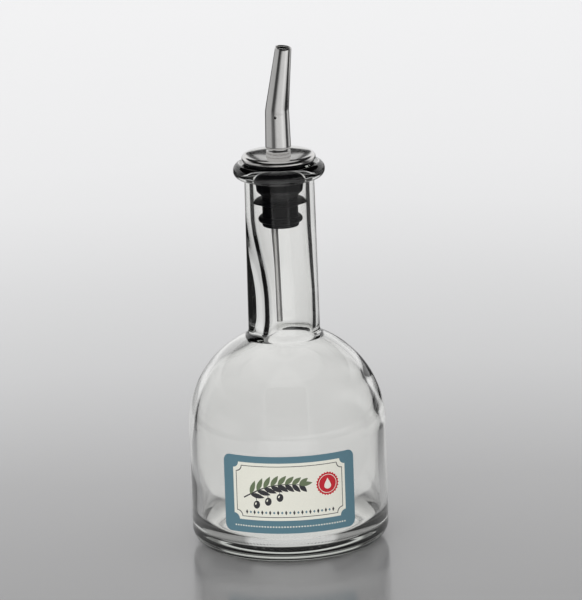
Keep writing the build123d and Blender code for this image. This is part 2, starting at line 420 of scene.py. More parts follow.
def material(name):
    """A new node material with its Principled shader, and a function that adds and links nodes."""
    made = bpy.data.materials.new(name)
    made.use_nodes = True
    tree = made.node_tree
    return made, tree.nodes["Principled BSDF"], node_maker(tree), tree


def srgb(red, green, blue):
    """A linear colour from the 0 to 255 values that a screen shows."""
    def channel(value):
        value /= 255
        return value / 12.92 if value <= 0.04045 else ((value + 0.055) / 1.055) ** 2.4

    return (channel(red), channel(green), channel(blue), 1)


def glass_material():
    """Clear pressed glass, faintly tinted and uneven, with a ring of stipples under the base."""
    made, shader, add, tree = material("pressed_glass")
    shader.inputs["Base Color"].default_value = (0.985, 0.985, 0.975, 1)
    shader.inputs["Transmission Weight"].default_value = 1
    shader.inputs["IOR"].default_value = 1.5
    shader.inputs["Specular IOR Level"].default_value = 0.2
    shader.inputs["Roughness"].default_value = 0.0
    place = add("ShaderNodeTexCoord").outputs["Object"]
    ripple = add("ShaderNodeTexNoise", {"Vector": place, "Scale": 38.0, "Detail": 1.0})
    parts = add("ShaderNodeSeparateXYZ", {"Vector": place})
    turn = maths(add, "ARCTAN2", parts.outputs["Y"], parts.outputs["X"])
    dots = add("ShaderNodeMath", {0: product(add, turn, float(STIPPLES))}, operation="COSINE")
    level = add("ShaderNodeVectorMath", {0: place, 1: (1, 1, 0)}, operation="MULTIPLY")
    radius = add("ShaderNodeVectorMath", {0: level}, operation="LENGTH").outputs["Value"]
    off = maths(add, "SUBTRACT", radius, body_radius - HEEL_RADIUS - BEARING_RING / 2)
    across = add("ShaderNodeMath", {0: off}, operation="ABSOLUTE")
    band = between(add, across, BEARING_RING / 2, BEARING_RING / 4)
    under = between(add, parts.outputs["Z"], 0.6 * MM, 0.2 * MM)
    stipple = product(add, dots, product(add, band, under))
    bump = add("ShaderNodeBump", {"Height": ripple.outputs["Fac"], "Strength": 0.05, "Distance": 0.0006})
    pressed = add("ShaderNodeBump", {"Height": stipple, "Strength": 0.6, "Distance": 0.0003,
                                     "Normal": bump.outputs["Normal"]})
    tree.links.new(pressed.outputs["Normal"], shader.inputs["Normal"])
    path = add("ShaderNodeLightPath")
    facing = add("ShaderNodeLayerWeight", {"Blend": 0.5}).outputs["Facing"]
    passed = product(add, between(add, parts.outputs["Z"], 0.0, SHADE_TOP, 0.0, SHADE_PASS),
                     between(add, facing, EDGE_START, EDGE_FULL, 1.0, EDGE_PASS))
    clear = add("ShaderNodeBsdfTransparent", {"Color": passed})
    both = layered(add, path.outputs["Is Shadow Ray"], shader.outputs["BSDF"], clear.outputs["BSDF"])
    tree.links.new(both, tree.nodes["Material Output"].inputs["Surface"])
    body = add("ShaderNodeVolumeAbsorption", {"Color": (0.70, 0.76, 0.66, 1), "Density": 6.0})
    tree.links.new(body.outputs["Volume"], tree.nodes["Material Output"].inputs["Volume"])
    return made


def rubber_material():
    """Moulded black rubber with a fine grain and a soft sheen."""
    made, shader, add, tree = material("black_rubber")
    place = add("ShaderNodeTexCoord")
    grain = add("ShaderNodeTexNoise", {"Vector": place.outputs["Object"], "Scale": 2600.0, "Detail": 3.0})
    cloud = add("ShaderNodeTexNoise", {"Vector": place.outputs["Object"], "Scale": 140.0, "Detail": 2.0})
    tone = add("ShaderNodeValToRGB", {"Fac": cloud.outputs["Fac"]})
    tone.color_ramp.elements[0].color = srgb(8, 8, 11)
    tone.color_ramp.elements[1].color = srgb(15, 15, 19)
    shader.inputs["Specular IOR Level"].default_value = 0.06
    gloss = add("ShaderNodeMapRange", {"Value": cloud.outputs["Fac"], "To Min": 0.34, "To Max": 0.5})
    bump = add("ShaderNodeBump", {"Height": grain.outputs["Fac"], "Strength": 0.12, "Distance": 0.00008})
    tree.links.new(tone.outputs["Color"], shader.inputs["Base Color"])
    tree.links.new(gloss.outputs["Result"], shader.inputs["Roughness"])
    tree.links.new(bump.outputs["Normal"], shader.inputs["Normal"])
    return made


def steel_material(name, metallic, low, high):
    """Stainless steel from one roughness to another, with faint polishing lines drawn out along Z."""
    made, shader, add, tree = material(name)
    shader.inputs["Metallic"].default_value = metallic
    place = add("ShaderNodeTexCoord")
    drawn = add("ShaderNodeMapping", {"Vector": place.outputs["Object"], "Scale": (1, 1, 0.02)})
    lines = add("ShaderNodeTexNoise", {"Vector": drawn.outputs["Vector"], "Scale": 1500.0, "Detail": 4.0})
    cloud = add("ShaderNodeTexNoise", {"Vector": place.outputs["Object"], "Scale": 120.0, "Detail": 2.0})
    tone = add("ShaderNodeValToRGB", {"Fac": cloud.outputs["Fac"]})
    tone.color_ramp.elements[0].color = srgb(218, 217, 216)
    tone.color_ramp.elements[1].color = srgb(234, 233, 231)
    gloss = add("ShaderNodeMapRange", {"Value": lines.outputs["Fac"], "To Min": low, "To Max": high})
    bump = add("ShaderNodeBump", {"Height": lines.outputs["Fac"], "Strength": 0.04, "Distance": 0.00003})
    tree.links.new(tone.outputs["Color"], shader.inputs["Base Color"])
    tree.links.new(gloss.outputs["Result"], shader.inputs["Roughness"])
    tree.links.new(bump.outputs["Normal"], shader.inputs["Normal"])
    return made


def make_glass():
    """The bottle as one closed body of glass, outside and inside."""
    outer, inner = glass_outline()

    def shape(r, z, angle, index):
        return (r, z) if index < len(outer) else uneven(r, z, angle)

    bottle = lathe("clear_bottle", outer + inner, 256, closed=False, shape=shape)
    bottle.data.materials.append(glass_material())
    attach(bottle, "bottle")
    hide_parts("glass_body", "glass_shoulder", "glass_neck")


# Stopper
STEM_RADIUS = 4.6 * MM
STEM_CLEARANCE = 0.05 * MM
MOUTH_CLEARANCE = 0.05 * MM
PLUG_RADIUS = 7.2 * MM
PLUG_FOOT_RADIUS = 7.4 * MM
PLUG_FOOT_HEIGHT = 2.7 * MM
FLANGE_FOOT_RADIUS = 13.6 * MM
FLANGE_SIDE = 0.6 * MM
SKIRT_LENGTH = 11.1 * MM
SKIRT_RADIUS = 9.2 * MM
SKIRT_UNDERCUT = 2.2 * MM
FIN_DEPTH = 15.9 * MM
FIN_ROOT = 2.6 * MM
FIN_EDGE = 0.4 * MM
FIN_RISE = 0.5 * MM
BEAD_DEPTH = 22.7 * MM
BEAD_RADIUS = 8.9 * MM
BEAD_HEIGHT = 2.4 * MM
EDGE = 0.25 * MM


def stopper_outline():
    """The stopper's half profile, with every edge a little rounded as moulded rubber is."""
    inner = STEM_RADIUS + STEM_CLEARANCE
    sealing = BORE_RADIUS - MOUTH_CLEARANCE
    skirt_foot = lip_top - SKIRT_LENGTH
    fin = lip_top - FIN_DEPTH
    bead = lip_top - BEAD_DEPTH
    return rounded(
        [
            (inner, plug_bottom + EDGE, 0),
            (inner, flange_top, EDGE),
            (flange_radius, flange_top, 2 * EDGE),
            (flange_radius, flange_top - FLANGE_SIDE, 2 * EDGE),
            (FLANGE_FOOT_RADIUS, lip_top, EDGE),
            (sealing, lip_top, EDGE / 2),
            (SKIRT_RADIUS, skirt_foot, EDGE),
            (PLUG_RADIUS, skirt_foot - SKIRT_UNDERCUT, EDGE),
            (PLUG_RADIUS, fin + FIN_ROOT / 2, EDGE),
            (sealing, fin + FIN_RISE + FIN_EDGE / 2, FIN_EDGE / 4),
            (sealing, fin + FIN_RISE - FIN_EDGE / 2, FIN_EDGE / 4),
            (PLUG_RADIUS, fin - FIN_ROOT / 2, EDGE),
            (PLUG_RADIUS, bead + BEAD_HEIGHT / 2, EDGE),
            (BEAD_RADIUS, bead + BEAD_HEIGHT / 2, BEAD_HEIGHT / 2.1),
            (BEAD_RADIUS, bead - BEAD_HEIGHT / 2, BEAD_HEIGHT / 2.1),
            (PLUG_RADIUS, bead - BEAD_HEIGHT / 2, EDGE),
            (PLUG_RADIUS, plug_bottom + PLUG_FOOT_HEIGHT, EDGE / 2),
            (PLUG_FOOT_RADIUS, plug_bottom + PLUG_FOOT_HEIGHT, EDGE / 2),
            (PLUG_FOOT_RADIUS, plug_bottom, 2 * EDGE),
            (inner, plug_bottom, EDGE),
            (inner, plug_bottom + EDGE, 0),
        ],
        steps=5,
    )[:-1]


def make_stopper(rubber):
    """The finned rubber stopper."""
    stopper = lathe("rubber_stopper", finer(stopper_outline(), 2 * MM), 160, closed=True)
    stopper.data.materials.append(rubber)
    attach(stopper, "stopper")
    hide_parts("stopper")


# Label: its size, and the print in millimetres from its middle
LABEL_WIDTH = 56.3
LABEL_HEIGHT = (label_high.z - label_low.z) / MM
LABEL_CORNER = 3.0
LABEL_THICKNESS = 0.2 * MM
PRINT_INSET = 0.005 * MM
PANEL_HALF = (23.6, 11.9)
PANEL_RISE = 1.3
PANEL_NOTCH = 2.4
FRAME_INSET = 1.25
FRAME_LINE = 0.28
INKS = {
    "teal": (91, 127, 140),
    "cream": (240, 239, 226),
    "charcoal": (44, 44, 48),
    "olive": (104, 118, 88),
    "red": (196, 32, 46),
}


def rectangle(centre, half, corner, notched=False, steps=8):
    """A rectangle with rounded corners, or with corners notched by quarter circles."""
    line = []
    for turn, (sx, sy) in enumerate(((1, 1), (-1, 1), (-1, -1), (1, -1))):
        inner = 0 if notched else corner
        x = centre[0] + sx * (half[0] - inner)
        y = centre[1] + sy * (half[1] - inner)
        start = 90 * turn
        angles = (start + 270, start + 180) if notched else (start, start + 90)
        line += arc((x, y), corner, *angles, steps)
    return line


def disc(centre, radius, steps=40, stretch=1.0, tilt=0.0):
    """A circle, or an ellipse that is longer along its tilted axis."""
    line = []
    for k in range(steps):
        x, y = radius * stretch * math.cos(TURN * k / steps), radius * math.sin(TURN * k / steps)
        line.append((centre[0] + x * math.cos(tilt) - y * math.sin(tilt),
                     centre[1] + x * math.sin(tilt) + y * math.cos(tilt)))
    return line


def leaf(base, way, length, width):
    """A pointed leaf that grows from its base."""
    side = []
    for k in range(13):
        share = k / 12
        side.append((length * share, width / 2 * math.sin(math.pi * share**0.85) ** 0.9))
    outline = side + [(x, -y) for x, y in reversed(side[1:-1])]
    return [(base[0] + x * math.cos(way) - y * math.sin(way),
             base[1] + x * math.sin(way) + y * math.cos(way)) for x, y in outline]


def ribbon(points, width):
    """A line of one width through points, tapered to its end."""
    left, right = [], []
    for i, point in enumerate(points):
        ahead = Vector(points[min(i + 1, len(points) - 1)]) - Vector(points[max(i - 1, 0)])
        across = Vector((-ahead.y, ahead.x)).normalized() * width / 2 * (1 - 0.6 * i / len(points))
        left.append(tuple(Vector(point) + across))
        right.append(tuple(Vector(point) - across))
    return left + right[::-1]


def drop(centre, size):
    """A falling drop, its point upwards."""
    line = []
    for k in range(36):
        angle = TURN * (k + 0.5) / 36
        line.append((centre[0] + size * 0.92 * math.sin(angle) * math.sin(angle / 2) ** 1.6,
                     centre[1] + size * math.cos(angle)))
    return line


def sprig():
    """An olive branch with paired leaves and three olives."""
    shares = [k / 24 for k in range(25)]
    stem = [(-19.0 + 23.0 * t, -1.4 + 5.6 * t + 2.4 * math.sin(math.pi * t)) for t in shares]
    shapes = [("charcoal", ribbon(stem, 0.55))]
    for k in range(3, 25, 3):
        here, ahead = Vector(stem[k]), Vector(stem[min(k + 1, 24)]) - Vector(stem[k - 1])
        way = math.atan2(ahead.y, ahead.x)
        length = 6.3 - 0.08 * k
        shapes.append(("olive", leaf(here, way + 0.72, length, 2.0)))
        shapes.append(("charcoal", leaf(here, way - 0.72, length, 2.0)))
    shapes.append(("olive", leaf(stem[-1], 0.1, 5.4, 1.9)))
    for k, fall in ((5, 4.0), (10, 4.6), (15, 4.0)):
        x, y = stem[k]
        stalk = [(x, y), (x + 0.5, y - fall / 2), (x + 0.7, y - fall)]
        shapes.append(("charcoal", ribbon(stalk, 0.35)))
        shapes.append(("charcoal", disc((x + 0.7, y - fall - 1.3), 1.35, stretch=1.25, tilt=1.4)))
        shapes.append(("cream", disc((x + 0.3, y - fall - 0.9), 0.3, steps=12, stretch=1.8, tilt=1.2)))
    return shapes


def print_shapes():
    """The label's print, from the ground up, as (ink, outline) pairs."""
    middle = (0, PANEL_RISE)
    frame = (PANEL_HALF[0] - FRAME_INSET, PANEL_HALF[1] - FRAME_INSET)
    inside = (frame[0] - FRAME_LINE, frame[1] - FRAME_LINE)
    shapes = [
        ("teal", rectangle((0, 0), (LABEL_WIDTH / 2, LABEL_HEIGHT / 2), LABEL_CORNER)),
        ("cream", rectangle(middle, PANEL_HALF, PANEL_NOTCH, notched=True)),
        ("charcoal", rectangle(middle, frame, PANEL_NOTCH, notched=True)),
        ("cream", rectangle(middle, inside, PANEL_NOTCH, notched=True)),
    ]
    shapes += sprig()
    seal = (15.7, 3.6)
    scallops = []
    for k in range(192):
        angle = TURN * k / 192
        reach = 4.7 + 0.22 * math.cos(24 * angle)
        scallops.append((seal[0] + reach * math.cos(angle), seal[1] + reach * math.sin(angle)))
    shapes += [
        ("red", scallops),
        ("cream", disc(seal, 3.9)),
        ("red", disc(seal, 3.65)),
        ("cream", drop((seal[0], seal[1] + 0.15), 2.3)),
    ]
    for k in range(-11, 12):
        height = 1.0 if k % 2 else 0.62
        ink = "charcoal" if k % 2 else "teal"
        shapes.append((ink, [(1.62 * k - 0.5, -7.3), (1.62 * k, -7.3 - height), (1.62 * k + 0.5, -7.3),
                             (1.62 * k, -7.3 + height)]))
    for k in range(-20, 21):
        shapes.append(("cream", disc((1.15 * k, -13.2), 0.34, steps=12)))
    return shapes


def paper_material(name, shade):
    """Coated label paper in one printed colour, with a faint fibre grain."""
    made, shader, add, tree = material(name)
    place = add("ShaderNodeTexCoord").outputs["Object"]
    fibre = add("ShaderNodeTexNoise", {"Vector": place, "Scale": 1400.0, "Detail": 5.0, "Roughness": 0.7})
    tone = add("ShaderNodeMapRange", {"Value": fibre.outputs["Fac"], "To Min": 0.94, "To Max": 1.05})
    printed = blended(add, 1.0, srgb(*shade), tone.outputs["Result"], "MULTIPLY")
    tree.links.new(printed, shader.inputs["Base Color"])
    gloss = add("ShaderNodeMapRange", {"Value": fibre.outputs["Fac"], "To Min": 0.42, "To Max": 0.58})
    tree.links.new(gloss.outputs["Result"], shader.inputs["Roughness"])
    bump = add("ShaderNodeBump", {"Height": fibre.outputs["Fac"], "Strength": 0.15, "Distance": 0.00005})
    tree.links.new(bump.outputs["Normal"], shader.inputs["Normal"])
    return made


def make_label():
    """The printed label: one sheet bent round the glass, its print cut into the sheet's own faces."""
    shapes = print_shapes()
    points, edges, faces = [], [], []
    for ink, outline in shapes:
        faces.append(list(range(len(points), len(points) + len(outline))))
        area = sum(a[0] * b[1] - a[1] * b[0] for a, b in zip(outline, outline[1:] + outline[:1]))
        points += [Vector(point) for point in (outline if area > 0 else reversed(outline))]
    columns = 44
    for k in range(1, columns):
        across = LABEL_WIDTH * (k / columns - 0.5)
        edges.append((len(points), len(points) + 1))
        points += [Vector((across, -LABEL_HEIGHT)), Vector((across, LABEL_HEIGHT))]
    flat, _, cells, _, _, owners = delaunay_2d_cdt(points, edges, faces, 0, 1e-4)
    sheet = bmesh.new()
    front, back = [], []
    for point in flat:
        angle = point.x * MM / label_outer
        for side, radius in ((front, label_outer - PRINT_INSET), (back, label_outer - LABEL_THICKNESS)):
            side.append(sheet.verts.new((radius * math.sin(angle), -radius * math.cos(angle),
                                         label_middle + point.y * MM)))
    inks = list(INKS)
    sides = set()
    for cell, owner in zip(cells, owners):
        if not owner:
            continue
        ink = inks.index(shapes[max(owner)][0])
        sheet.faces.new([front[i] for i in cell]).material_index = ink
        sheet.faces.new([back[i] for i in reversed(cell)]).material_index = len(inks)
        sides.update(zip(cell, cell[1:] + cell[:1]))
    for a, b in sides:
        if (b, a) not in sides:
            rim = sheet.faces.new((front[a], back[a], back[b], front[b]))
            rim.material_index = len(inks)
            rim.edges[1].smooth = rim.edges[3].smooth = False
    loose = [vert for vert in sheet.verts if not vert.link_faces]
    bmesh.ops.delete(sheet, geom=loose, context="VERTS")
    label = new_object("printed_label", sheet)
    for ink, shade in INKS.items():
        label.data.materials.append(paper_material("label_" + ink, shade))
    label.data.materials.append(paper_material("label_back", (226, 225, 220)))
    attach(label, "bottle")
    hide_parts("label")


# Collar and spout
COLLAR_RIM = 1.8 * MM
COLLAR_SHEET = 0.6 * MM
COLLAR_EDGE = 1.5 * MM
COLLAR_FOOT_ROUNDING = 0.2 * MM
SPOUT_WALL = 0.5 * MM
SWAGE_RADIUS = 4.95 * MM
SWAGE_SEAT_RADIUS = 4.8 * MM
SWAGE_HEIGHT = 1.5 * MM
GROOVE_RADIUS = 4.75 * MM
GROOVE_HEIGHT = 0.4 * MM
FOOT_RADIUS = 5.15 * MM
BEND_RADIUS = 4.85 * MM
TIP_RADIUS = 3.25 * MM
FOOT_LENGTH = 14.2 * MM
ELBOW_RADIUS = 16.0 * MM
ELBOW_TAPER = 0.13 * MM
ELBOW_ANGLE = math.radians(7.5)
END_LENGTH = 25.2 * MM
SPOUT_HEADING = math.radians(350.0)
VENT_HEADING = math.radians(260.0)
VENT_RADIUS = 0.6 * MM
VENT_BELOW_BEND = 0.9 * MM
TUBE_RADIUS = 1.4 * MM
TUBE_BORE = 1.0 * MM
TUBE_CAP = 0.8 * MM
TUBE_GAP = 0.02 * MM
TUBE_FOOT_X = -1.8 * MM
TUBE_FOOT_Y = -0.5 * MM
TUBE_SEAT_HEADING = math.radians(190.0)
TUBE_BEND_RADIUS = 15.0 * MM
spout_foot = collar_crown + SWAGE_HEIGHT + GROOVE_HEIGHT
elbow_start = spout_foot + FOOT_LENGTH
vent_height = elbow_start - VENT_BELOW_BEND


def collar_outline():
    """The collar's half profile: a low pressed dome, turned down over a round edge to its rim."""
    inner = STEM_RADIUS + STEM_CLEARANCE
    edge = collar_bottom + COLLAR_RIM
    reach = collar_radius - SWAGE_RADIUS
    rise = collar_crown - edge
    curve = (reach**2 + rise**2) / (2 * rise)

    def dome(inset, steps):
        span = reach - inset
        return [(SWAGE_RADIUS + span * k / steps,
                 collar_crown - curve + math.sqrt((curve - inset) ** 2 - (span * k / steps) ** 2))
                for k in range(steps + 1)]

    top, under = dome(0, 20), dome(COLLAR_SHEET, 20)
    outside = rounded(
        [(*top[-5], 0), (*top[-1], COLLAR_EDGE), (collar_radius, collar_bottom, COLLAR_FOOT_ROUNDING),
         (collar_radius - COLLAR_SHEET, collar_bottom, COLLAR_FOOT_ROUNDING),
         (*under[-1], COLLAR_EDGE - COLLAR_SHEET), (*under[-5], 0)],
        steps=10,
    )
    underside = under[-6::-1] + [(inner, collar_crown - COLLAR_SHEET)]
    return [(inner, collar_crown)] + top[:-5] + outside + underside


def spout_rings():
    """Centre, direction and radius of the spout's outer rings, from the foot of the stem to the tip."""
    up = Vector((0, 0, 1))
    rings = []

    def on_axis(height, radius):
        rings.append((Vector((0, 0, height)), up, radius))

    def line(first, last, steps):
        for k in range(steps + 1):
            share = k / steps
            on_axis(first[0] + (last[0] - first[0]) * share, first[1] + (last[1] - first[1]) * share)

    line((stem_bottom, STEM_RADIUS), (collar_crown, STEM_RADIUS), 12)
    on_axis(collar_crown + 0.02 * MM, SWAGE_SEAT_RADIUS)
    for k in range(1, 8):
        share = k / 8
        bulge = math.sin(math.pi * share)
        radius = SWAGE_SEAT_RADIUS + (GROOVE_RADIUS - SWAGE_SEAT_RADIUS) * share
        on_axis(collar_crown + SWAGE_HEIGHT * share, radius + (SWAGE_RADIUS - radius) * bulge)
    on_axis(collar_crown + SWAGE_HEIGHT, GROOVE_RADIUS)
    on_axis(spout_foot - GROOVE_HEIGHT * 0.3, GROOVE_RADIUS)
    for k in range(5):
        angle = math.pi / 2 * k / 4
        lift = (FOOT_RADIUS - GROOVE_RADIUS)
        on_axis(spout_foot + lift * (1 - math.cos(angle)) * 0.9, GROOVE_RADIUS + lift * math.sin(angle))
    line((spout_foot + 1.0 * MM, FOOT_RADIUS), (elbow_start, BEND_RADIUS), 14)
    lean = Vector((math.cos(SPOUT_HEADING), math.sin(SPOUT_HEADING), 0))
    for k in range(1, 11):
        angle = ELBOW_ANGLE * k / 10
        centre = Vector((0, 0, elbow_start + ELBOW_RADIUS * math.sin(angle)))
        centre += lean * ELBOW_RADIUS * (1 - math.cos(angle))
        radius = BEND_RADIUS - ELBOW_TAPER * k / 10
        rings.append((centre, up * math.cos(angle) + lean * math.sin(angle), radius))
    start, direction, elbow_radius = rings[-1]
    for k in range(1, 25):
        share = k / 24
        radius = elbow_radius + (TIP_RADIUS - elbow_radius) * share
        rings.append((start + direction * END_LENGTH * share, direction, radius))
    return rings


def ring_tube(name, rings, steps):
    """A closed tube wall from rings of centre, direction and radius, up the outside and down the inside."""
    shell = bmesh.new()
    angles = [TURN * k / steps for k in range(steps)]
    loops = []
    for centre, direction, radius in rings:
        across = Vector((1, 0, 0)) - direction * direction.x
        across.normalize()
        other = direction.cross(across)
        loops.append(
            [shell.verts.new(centre + (across * math.cos(a) + other * math.sin(a)) * radius) for a in angles]
        )
    for low, high in zip(loops, loops[1:] + loops[:1]):
        for k in range(steps):
            n = (k + 1) % steps
            shell.faces.new((low[k], low[n], high[n], high[k]))
    return new_object(name, shell)


def walled(rings, wall):
    """The outer rings with rounded ends, followed by the inner rings one wall inside them."""
    edge = wall * 0.4
    outer = list(rings)
    centre, direction, radius = outer[-1]
    outer[-1] = (centre - direction * edge, direction, radius)
    outer.append((centre - direction * edge * 0.3, direction, radius - edge * 0.3))
    outer.append((centre, direction, radius - edge))
    inner = [(c, d, r - wall) for c, d, r in reversed(rings)]
    inner[0] = (centre - direction * edge, direction, radius - wall)
    return outer + [(centre, direction, radius - wall + edge * 0.6)] + inner


def drill(piece, centre, direction, radius, depth):
    """Cuts a round hole into a piece, from a point outwards along a direction."""
    cutter = bmesh.new()
    place = Matrix.Translation(centre) @ direction.to_track_quat("Z", "Y").to_matrix().to_4x4()
    bmesh.ops.create_cone(
        cutter, cap_ends=True, segments=32, radius1=radius, radius2=radius, depth=depth, matrix=place
    )
    tool = new_object("drill", cutter)
    cut = piece.modifiers.new("hole", "BOOLEAN")
    cut.operation = "DIFFERENCE"
    cut.solver = "EXACT"
    cut.object = tool
    graph = bpy.context.evaluated_depsgraph_get()
    mesh = bpy.data.meshes.new_from_object(piece.evaluated_get(graph))
    mesh.set_sharp_from_angle(angle=math.radians(50))
    piece.modifiers.clear()
    piece.data = mesh
    bpy.data.objects.remove(tool)


def make_pourer(steel, drawn):
    """The collar, the spout with its vent hole and the air tube."""
    collar = lathe("pressed_collar", collar_outline(), 160, closed=True)
    rings = spout_rings()
    outer = walled(rings, SPOUT_WALL)
    spout = ring_tube("bent_spout", outer, 96)
    vent_way = Vector((math.cos(VENT_HEADING), math.sin(VENT_HEADING), 0))
    vent_place = vent_way * BEND_RADIUS + Vector((0, 0, vent_height))
    drill(spout, vent_place, vent_way, VENT_RADIUS, 3 * MM)
    tube = air_tube()
    drill(tube, vent_place, vent_way, VENT_RADIUS, 3.2 * MM)
    for piece, node, metal in ((collar, "collar", steel), (spout, "spout", steel), (tube, "air_tube", drawn)):
        piece.data.materials.append(metal)
        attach(piece, "pourer")
        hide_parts(node)


def air_tube():
    """The thin tube from the neck to the vent, bent gently at its seat and at its head."""
    def against(wall_radius, heading, height):
        reach = wall_radius - SPOUT_WALL - TUBE_RADIUS - TUBE_GAP
        return Vector((reach * math.cos(heading), reach * math.sin(heading), height))

    points = [
        Vector((TUBE_FOOT_X, TUBE_FOOT_Y, tube_foot)),
        against(STEM_RADIUS, TUBE_SEAT_HEADING, stem_bottom + TUBE_RADIUS),
        against(BEND_RADIUS, VENT_HEADING, vent_height - 3 * TUBE_RADIUS),
        against(BEND_RADIUS, VENT_HEADING, vent_height + VENT_RADIUS + TUBE_CAP),
    ]
    line = [points[0]]
    for before, here, after in zip(points, points[1:], points[2:]):
        back, on = (before - here).normalized(), (after - here).normalized()
        half = back.angle(on) / 2
        reach = TUBE_BEND_RADIUS / math.tan(half)
        first, last = here + back * reach, here + on * reach
        middle = here + (back + on).normalized() * TUBE_BEND_RADIUS / math.sin(half)
        for k in range(7):
            line.append(middle + (first - middle).slerp(last - middle, k / 6) * TUBE_BEND_RADIUS)
    line.append(points[-1])
    rings = []
    for i, here in enumerate(line):
        direction = (line[min(i + 1, len(line) - 1)] - line[max(i - 1, 0)]).normalized()
        rings.append((here, direction, TUBE_RADIUS))
    return ring_tube("vent_tube", walled(rings, TUBE_RADIUS - TUBE_BORE), 40)


def share_sideways(add, place):
    """How far to one side a place or direction lies: 0 straight before or behind the object, 1 beside it."""
    level = add("ShaderNodeVectorMath", {0: place, 1: (1, 1, 0)}, operation="MULTIPLY")
    unit = add("ShaderNodeVectorMath", {0: level.outputs["Vector"]}, operation="NORMALIZE")
    parts = add("ShaderNodeSeparateXYZ", {"Vector": unit.outputs["Vector"]})
    return add("ShaderNodeMath", {0: parts.outputs["X"]}, operation="ABSOLUTE").outputs["Value"]


def bearing(add, place):
    """The way to a place: 0 behind the object, 0.25 on its left, 0.5 before it and 0.75 on its right."""
    parts = add("ShaderNodeSeparateXYZ", {"Vector": place})
    angle = maths(add, "ARCTAN2", parts.outputs["X"], product(add, parts.outputs["Y"], -1.0))
    turned = add("ShaderNodeMath", {0: angle, 1: 1 / TURN, 2: 0.5}, operation="MULTIPLY_ADD")
    return turned.outputs["Value"]


def bounced(add, path):
    """1 for light that was mirrored or scattered on its way."""
    bounces = maths(add, "ADD", path.outputs["Glossy Depth"], path.outputs["Diffuse Depth"])
    return maths(add, "GREATER_THAN", bounces, 0.5)


def in_wall(add, path):
    """1 for light that ran inside a wall of glass: it came through two faces only, or bounced."""
    few = maths(add, "LESS_THAN", path.outputs["Transmission Depth"], 2.5)
    return product(add, maths(add, "MAXIMUM", few, bounced(add, path)), path.outputs["Is Transmission Ray"])


def ramp(add, value, stops):
    """A colour ramp through (position, grey) stops."""
    node = add("ShaderNodeValToRGB", {"Fac": value})
    elements = node.color_ramp.elements
    while len(elements) < len(stops):
        elements.new(0.5)
    for element, (position, grey) in zip(elements, stops):
        element.position = position
        element.color = (grey, grey, grey, 1)
    return node.outputs["Color"]


def painted_floor_shade(add, path, distance, behind):
    """The floor's painted shade: a grey darker near the bottle and paler further off, by the way behind the
    bottle, and further off by distance on all sides.
    """
    round_share = product(add, between(add, distance, ROUND_NEAR, ROUND_FAR),
                          maths(add, "SUBTRACT", 1.0, bounced(add, path)))
    reach = add("ShaderNodeMix", {"Factor": round_share, "A": behind, "B": distance}, data_type="FLOAT")
    share = between(add, colour_of(reach), FLOOR_NEAR, FLOOR_FAR)
    length = FLOOR_FAR - FLOOR_NEAR
    return ramp(add, share, [((far - FLOOR_NEAR) / length, grey) for far, grey in FLOOR_SHADE_TONES])


def mirrored_floor(add, distance, way):
    """What metal shows of the floor: tones by bearing, others for each zone of distance."""
    tone = ramp(add, way, BODY_TONES)
    for near, far, tones in MIRROR_ZONES:
        tone = blended(add, between(add, distance, near, far), tone, ramp(add, way, tones))
    return tone


def make_stage():
    """A glossy table whose grey is painted shade, pale further off, under layers that only metal or glass
    shows.
    """
    sheet = bmesh.new()
    bmesh.ops.create_circle(sheet, cap_ends=True, segments=96, radius=FLOOR_REACH)
    floor = new_object("floor", sheet)
    made, shader, add, tree = material("pale_floor")
    shader.inputs["Roughness"].default_value = FLOOR_ROUGHNESS
    shader.inputs["IOR"].default_value = FLOOR_IOR
    place = add("ShaderNodeTexCoord").outputs["Object"]
    distance = add("ShaderNodeVectorMath", {0: place}, operation="LENGTH").outputs["Value"]
    behind = add("ShaderNodeSeparateXYZ", {"Vector": place}).outputs["Y"]
    path = add("ShaderNodeLightPath")
    # Painted shade: the floor's grey is darker near the bottle and paler further off
    tree.links.new(painted_floor_shade(add, path, distance, behind), shader.inputs["Base Color"])
    in_glass = path.outputs["Is Transmission Ray"]
    in_metal = product(add, path.outputs["Is Glossy Ray"], maths(add, "SUBTRACT", 1.0, in_glass))
    cards = ramp(add, share_sideways(add, place), CARD_STOPS)
    before = ramp(add, between(add, behind, PALE_NEAR, PALE_FAR), PALE_STOPS)
    straight = maths(add, "LESS_THAN", path.outputs["Glossy Depth"], 0.5)
    base_glow_share = between(add, straight, 0.0, 1.0, BASE_MIRRORED, 1.0)
    layers = [
        (product(add, between(add, distance, MIRROR_NEAR, MIRROR_FAR), in_metal),
         mirrored_floor(add, distance, bearing(add, place))),
        (product(add, maths(add, "SUBTRACT", 1.0, cards), between(add, distance, CARD_NEAR, CARD_FAR),
                 in_wall(add, path)), CARD_TONE),
        (product(add, before, cards, in_glass), PALE_TONE),
        # Painted light: a glow on the floor under the base, which only glass shows
        (product(add, between(add, distance, BASE_END, BASE_FULL), in_glass, base_glow_share), BASE_GLOW_TONE),
    ]
    surface = shader.outputs["BSDF"]
    for share, tone in layers:
        glow = add("ShaderNodeEmission", {"Color": tone})
        surface = layered(add, share, surface, glow.outputs["Emission"])
    tree.links.new(surface, tree.nodes["Material Output"].inputs["Surface"])
    made.cycles.emission_sampling = "NONE"
    floor.data.materials.append(made)


def make_cards():
    """A dark card and a small pale one behind the pourer, which only the polished collar mirrors."""
    for name, tone, width, low, high, behind in CARDS_BEHIND:
        sheet = bmesh.new()
        bmesh.ops.create_grid(sheet, x_segments=1, y_segments=1, size=0.5)
        card = new_object(name, sheet)
        card.scale = (width, high - low, 1)
        card.location = (0, behind, (low + high) / 2)
        card.rotation_euler = (math.pi / 2, 0, 0)
        made, _, add, tree = material(name)
        glow = add("ShaderNodeEmission", {"Color": (tone, tone, tone, 1)})
        tree.links.new(glow.outputs["Emission"], tree.nodes["Material Output"].inputs["Surface"])
        made.cycles.emission_sampling = "NONE"
        card.data.materials.append(made)
        card.visible_camera = False
        card.visible_diffuse = False
        card.visible_transmission = False
        card.visible_shadow = False


